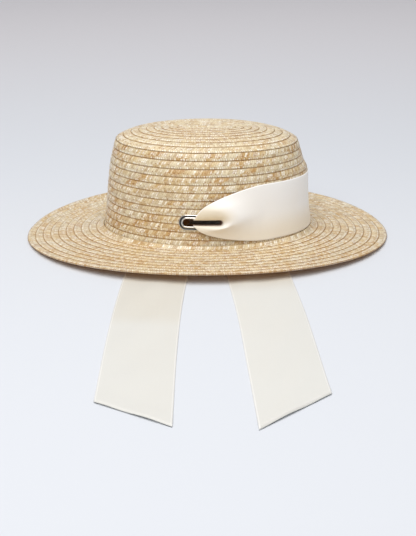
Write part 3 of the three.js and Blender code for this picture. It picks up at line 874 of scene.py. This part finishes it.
def unrolling(origin, heading, right, lengths, flat_length, radius):
    """A section that is still partly folded: flat_length of it lies to the left of the fold and the
    rest is turned back on top. Its first point is the left edge."""
    top = unit(np.cross(heading, right))
    beyond = lengths - flat_length
    turn = np.clip(beyond / radius, 0, math.pi)
    straight = np.minimum(beyond, 0) - np.maximum(beyond - math.pi * radius, 0)
    across = straight + radius * np.sin(turn)
    return origin + across[:, None] * right + (radius * (1 - np.cos(turn)))[:, None] * top


class TailLine:
    """A smooth line on the surface through the right edge of a tail, measured along its length."""

    def __init__(self, rows, reach, height):
        points = [Vector(((a + 0.5) * RIBBON_WIDTH, -r * reach, height)) for r, a in rows]
        points = [2 * points[0] - points[1], *points, 2 * points[-1] - points[-2]]
        fine = []
        for a, b, c, d in zip(points, points[1:], points[2:], points[3:]):
            spans = [max((q - p).length, 1e-9) ** 0.5 for p, q in ((a, b), (b, c), (c, d))]
            one = ((b - a) / spans[0] - (c - a) / (spans[0] + spans[1]) + (c - b) / spans[1]) * spans[1]
            two = ((c - b) / spans[1] - (d - b) / (spans[1] + spans[2]) + (d - c) / spans[2]) * spans[1]
            fine += [hermite(b, c, one, two, k / LINE_STEPS) for k in range(LINE_STEPS)]
        self.points = np.array([*fine, points[-2]])
        gone = np.linalg.norm(np.diff(self.points, axis=0), axis=1)
        self.gone = np.concatenate([[0], np.cumsum(gone)])
        self.length = self.gone[-1]

    def at(self, share):
        return np.array([np.interp(share * self.length, self.gone, c) for c in self.points.T])

    def heading(self, share):
        low, high = max(share - 0.004, 0), min(share + 0.004, 1)
        return unit(self.at(high) - self.at(low))


def right_of(heading):
    return unit(np.array([-heading[1], heading[0], 0.0]))


def tail_sections(line, slant, lengths, ripple):
    sections = []
    flat = UNROLL_LENGTH / line.length
    for i in range(1, HIDDEN_STEPS + 1):
        t = 1 - (1 - i / HIDDEN_STEPS) ** UNROLL_EASE
        radius = fold_radius() * (PRESSED_FOLD + FOLD_OPENING * t)
        origin = line.at(flat * t)
        heading = line.heading(flat * t)
        wide = folded_leg() + (RIBBON_WIDTH - folded_leg()) * t
        sections.append(unrolling(origin, heading, right_of(heading), lengths, wide, radius))
    for i in range(1, TAIL_STEPS + 1):
        t = i / TAIL_STEPS
        share = flat + (1 - flat) * t
        heading = line.heading(share)
        origin = line.at(share)
        section = unrolling(origin, heading, right_of(heading), lengths, RIBBON_WIDTH, fold_radius())
        lean = smooth_step(t, 0.35, 1) * slant
        section = section + np.outer(lean * (0.5 - lengths / RIBBON_WIDTH), heading)
        place = share * line.length
        wave = 0.5 + 0.5 * np.sin(place * 60 + 9 * lengths / RIBBON_WIDTH + line.length * 40)
        edges = (2 * lengths / RIBBON_WIDTH - 1) ** 2
        section[:, 2] += ripple * wave * (0.8 - 0.7 * edges) * smooth_step(t, 0, 0.15)
        section[:, 2] += ripple * 0.7 * smooth_step(t, 0.9, 1)
        sections.append(section)
    return sections


def drop_sections(side, line, loop_reach, lengths):
    """The hidden stretch, from the eyelet's inner side down to the surface."""
    fold = GATHER_APEX - fold_radius()
    stationary = EYELET_HEIGHT - side * fold_radius()
    inner = -STRAW_WALL - PIECE_GAP - EYELET_SHEET - SOLID_RIBBON
    start = wall_point(side, fold, stationary, inner)
    inward = unit(start - wall_point(side, fold, stationary, 0))
    heading = line.heading(0)
    landing = line.at(0)
    corners = (start, start + inward * loop_reach, landing - heading * LANDING_HANDLE, landing)
    sections = []
    for i in range(HIDDEN_STEPS + 1):
        t = i / HIDDEN_STEPS
        weights = ((1 - t) ** 3, 3 * t * (1 - t) ** 2, 3 * t * t * (1 - t), t**3)
        place = sum(w * c for w, c in zip(weights, corners))
        slopes = (-3 * (1 - t) ** 2, 3 * (1 - t) * (1 - 3 * t), 3 * t * (2 - 3 * t), 3 * t * t)
        ahead = unit(sum(w * c for w, c in zip(slopes, corners)))
        right = unit((1 - t) * np.array([1.0, 0, 0]) + t * right_of(heading))
        radius = fold_radius() * (1 - (1 - PRESSED_FOLD) * t)
        sections.append(unrolling(place, ahead, right, lengths, folded_leg(), radius))
    return sections


def ribbon_half(side, line, slant, loop_reach, lengths, sizes):
    shares = 2 * lengths / RIBBON_WIDTH - 1
    thickness = sizes.ribbon_thickness
    sections = [gathered(side, shares, t, thickness) for t in np.linspace(1, 0, SLOT_STATION)]
    along, rise = folded_section(shares)
    for outward in (0, -STRAW_WALL / 2, -STRAW_WALL):
        sections.append(wall_point(side, along, EYELET_HEIGHT + rise, outward))
    hidden = drop_sections(side, line, loop_reach, lengths)
    hidden += tail_sections(line, slant, lengths, sizes.tail_ripple)
    return sections + [s[::-1] if side < 0 else s for s in hidden]


def build_ribbon(sizes, material):
    lengths = np.linspace(0, RIBBON_WIDTH, RIBBON_COLUMNS)
    shares = 2 * lengths / RIBBON_WIDTH - 1
    height = sizes.ribbon_thickness / 2
    left = TailLine(LEFT_TAIL, LEFT_TAIL_REACH, height)
    right = TailLine(RIGHT_TAIL, RIGHT_TAIL_REACH, height)
    front = ribbon_half(-1, left, LEFT_TAIL_SLANT, FRONT_LOOP, lengths, sizes)
    back = ribbon_half(1, right, RIGHT_TAIL_SLANT, BACK_LOOP, lengths, sizes)
    round_crown = []
    for along in np.linspace(GATHER_REACH, 2 * BAND_END - GATHER_REACH, BAND_STEPS)[1:-1]:
        side = -1 if along < BAND_END else 1
        nearest = min(along, 2 * BAND_END - along)
        round_crown.append(band(side, nearest, shares, sizes.ribbon_thickness))
    sheet = np.array([*front[::-1], *round_crown, *back])
    count, wide = sheet.shape[:2]
    middle = sheet[:, wide // 2]
    gone = np.concatenate([[0], np.cumsum(np.linalg.norm(np.diff(middle, axis=0), axis=1))])
    slots = (len(front) - 1 - SLOT_STATION, len(front) + len(round_crown) + SLOT_STATION)
    halfway = (gone[slots[0]] + gone[slots[1]]) / 2
    half_band = (gone[slots[1]] - gone[slots[0]]) / 2
    bm = bmesh.new()
    bmesh.ops.create_grid(bm, x_segments=count - 1, y_segments=wide - 1, size=0.5)
    place = {}
    for vert in bm.verts:
        i, j = round((vert.co.x + 0.5) * (count - 1)), round((vert.co.y + 0.5) * (wide - 1))
        place[vert] = (abs(gone[i] - halfway) - half_band, lengths[j])
        vert.co = sheet[i, j]
    uv = bm.loops.layers.uv.new("pattern")
    for face in bm.faces:
        for corner in face.loops:
            corner[uv].uv = place[corner.vert]
    piece = finished("ribbon_satin", bm, material, "ribbon_satin", "ribbon")
    solidify = piece.modifiers.new("thickness", "SOLIDIFY")
    solidify.thickness = sizes.ribbon_thickness
    solidify.offset = 0
    return piece


# Operators


class BOATER_OT_crown(bpy.types.Operator):
    """Builds the crown's sewn rows of plait"""

    bl_idname = "boater.crown"
    bl_label = "Crown"

    def execute(self, context):
        colours = context.scene.boater_colours
        names = ("deep", "usual", "pale", "silver", "pearl_glint", "gap", "seeping")
        shades = [tuple(getattr(colours, "straw_" + name)) for name in names]
        material = straw_finish("straw_plait", shades)
        build_crown(context.scene.boater_sizes, material)
        return {"FINISHED"}


class BOATER_OT_brim(bpy.types.Operator):
    """Builds the brim's sewn rows of plait, turned up at the crown"""

    bl_idname = "boater.brim"
    bl_label = "Brim"

    def execute(self, context):
        build_brim(context.scene.boater_sizes, bpy.data.materials["straw_plait"])
        return {"FINISHED"}


class BOATER_OT_eyelets(bpy.types.Operator):
    """Builds the two metal eyelets"""

    bl_idname = "boater.eyelets"
    bl_label = "Eyelets"

    def execute(self, context):
        colours = context.scene.boater_colours
        material = metal_finish("eyelet_metal", tuple(colours.eyelet_bright), tuple(colours.eyelet_groove_reflection))
        build_eyelet(-1, "eyelet_front_ring", material)
        build_eyelet(1, "eyelet_back_ring", material)
        return {"FINISHED"}


class BOATER_OT_ribbon(bpy.types.Operator):
    """Builds the satin ribbon, from one tail round the crown to the other"""

    bl_idname = "boater.ribbon"
    bl_label = "Ribbon"

    def execute(self, context):
        colours = context.scene.boater_colours
        names = ("satin", "satin_warm_and_shade", "satin_tail_shade", "satin_throat_shade", "satin_fold_shade")
        shades = [tuple(getattr(colours, name)) for name in names]
        material = satin_finish("ribbon_satin", shades)
        build_ribbon(context.scene.boater_sizes, material)
        return {"FINISHED"}


class BOATER_OT_stage(bpy.types.Operator):
    """Adds the surface, the light and the camera"""

    bl_idname = "boater.stage"
    bl_label = "Stage"

    def execute(self, context):
        stage = context.scene.boater_stage
        add_surface(paper_finish("surface_paper", tuple(stage.floor_colour), tuple(stage.far_colour)))
        add_lights(stage)
        add_camera()
        return {"FINISHED"}


def add_surface(material):
    """A wide surface that curves up far behind the hat."""
    bend_start = 2.0
    bend_radius = 1.5
    bend_steps = 12
    bm = bmesh.new()
    bmesh.ops.create_grid(bm, x_segments=2, y_segments=2, size=3.0)
    bmesh.ops.translate(bm, verts=bm.verts, vec=(0, -1.0, -0.0001))
    back = [e for e in bm.edges if all(v.co.y > 1.99 for v in e.verts)]
    for i in range(1, bend_steps + 1):
        grown = bmesh.ops.extrude_edge_only(bm, edges=back)["geom"]
        back = [g for g in grown if isinstance(g, bmesh.types.BMEdge) and len(g.link_faces) == 1]
        back = [e for e in back if abs(e.verts[0].co.x - e.verts[1].co.x) > 0.1]
        turn = math.pi / 2 * i / bend_steps
        for vert in (g for g in grown if isinstance(g, bmesh.types.BMVert)):
            vert.co.y = bend_start + bend_radius * math.sin(turn)
            vert.co.z = bend_radius * (1 - math.cos(turn))
    mesh = bpy.data.meshes.new("surface")
    bm.to_mesh(mesh)
    bm.free()
    mesh.shade_smooth()
    mesh.materials.append(material)
    surface = bpy.data.objects.new("surface", mesh)
    bpy.context.collection.objects.link(surface)


def add_lights(stage):
    world = bpy.data.worlds.new("studio")
    world.use_nodes = True
    background = world.node_tree.nodes["Background"]
    background.inputs["Color"].default_value = (0.93, 0.95, 1.0, 1)
    background.inputs["Strength"].default_value = stage.fill_light
    bpy.context.scene.world = world
    for name, place, size, power in (
        ("overhead", (-0.15, -0.35, 1.7), 1.8, stage.top_light),
        ("front_left", (-0.5, -1.7, 1.9), 1.6, stage.front_light),
    ):
        lamp = bpy.data.lights.new(name, "AREA")
        lamp.shape = "DISK"
        lamp.size = size
        lamp.energy = power
        lamp.color = (1.0, 0.985, 0.965)
        light = bpy.data.objects.new(name, lamp)
        light.location = place
        beam = Vector((0, 0, 0.03)) - Vector(place)
        light.rotation_euler = beam.to_track_quat("-Z", "Y").to_euler()
        bpy.context.collection.objects.link(light)


def add_camera():
    camera = bpy.data.cameras.new("camera")
    camera.sensor_width = 36
    camera.lens = FOCAL_PIXELS * 36 / PHOTO_HEIGHT
    camera.shift_x = 0.52 / PHOTO_HEIGHT
    camera.shift_y = 0.5 / PHOTO_HEIGHT
    camera.clip_end = 20
    eye = bpy.data.objects.new("camera", camera)
    eye.location = CAMERA_PLACE
    ahead = Vector((0, math.cos(CAMERA_DOWN), -math.sin(CAMERA_DOWN)))
    level = Vector((1, 0, 0))
    above = level.cross(ahead)
    right = level * math.cos(CAMERA_ROLL) - above * math.sin(CAMERA_ROLL)
    upright = level * math.sin(CAMERA_ROLL) + above * math.cos(CAMERA_ROLL)
    eye.rotation_euler = Matrix((right, upright, -ahead)).transposed().to_euler()
    bpy.context.collection.objects.link(eye)
    bpy.context.scene.camera = eye


class BOATER_PT_panel(bpy.types.Panel):
    """Lists the hat's pieces and settings"""

    bl_label = "Straw boater"
    bl_idname = "BOATER_PT_panel"
    bl_space_type = "VIEW_3D"
    bl_region_type = "UI"
    bl_category = "Boater"

    def draw(self, context):
        layout = self.layout
        scene = context.scene
        for group in (scene.boater_sizes, scene.boater_colours, scene.boater_stage):
            box = layout.box()
            for name in group.__annotations__:
                box.prop(group, name)
        for name in ("crown", "brim", "eyelets", "ribbon", "stage"):
            layout.operator("boater." + name)


CLASSES = (
    BoaterSizes, BoaterColours, BoaterStage, BOATER_OT_crown, BOATER_OT_brim, BOATER_OT_eyelets,
    BOATER_OT_ribbon, BOATER_OT_stage, BOATER_PT_panel,
)


def register():
    for item in CLASSES:
        bpy.utils.register_class(item)
    bpy.types.Scene.boater_sizes = PointerProperty(type=BoaterSizes)
    bpy.types.Scene.boater_colours = PointerProperty(type=BoaterColours)
    bpy.types.Scene.boater_stage = PointerProperty(type=BoaterStage)


def unregister():
    del bpy.types.Scene.boater_stage
    del bpy.types.Scene.boater_colours
    del bpy.types.Scene.boater_sizes
    for item in reversed(CLASSES):
        bpy.utils.unregister_class(item)


def main():
    register()
    bpy.context.scene.view_settings.view_transform = "Standard"
    bpy.ops.boater.stage()
    bpy.ops.boater.crown()
    bpy.ops.boater.brim()
    bpy.ops.boater.eyelets()
    bpy.ops.boater.ribbon()


if __name__ == "__main__":
    main()
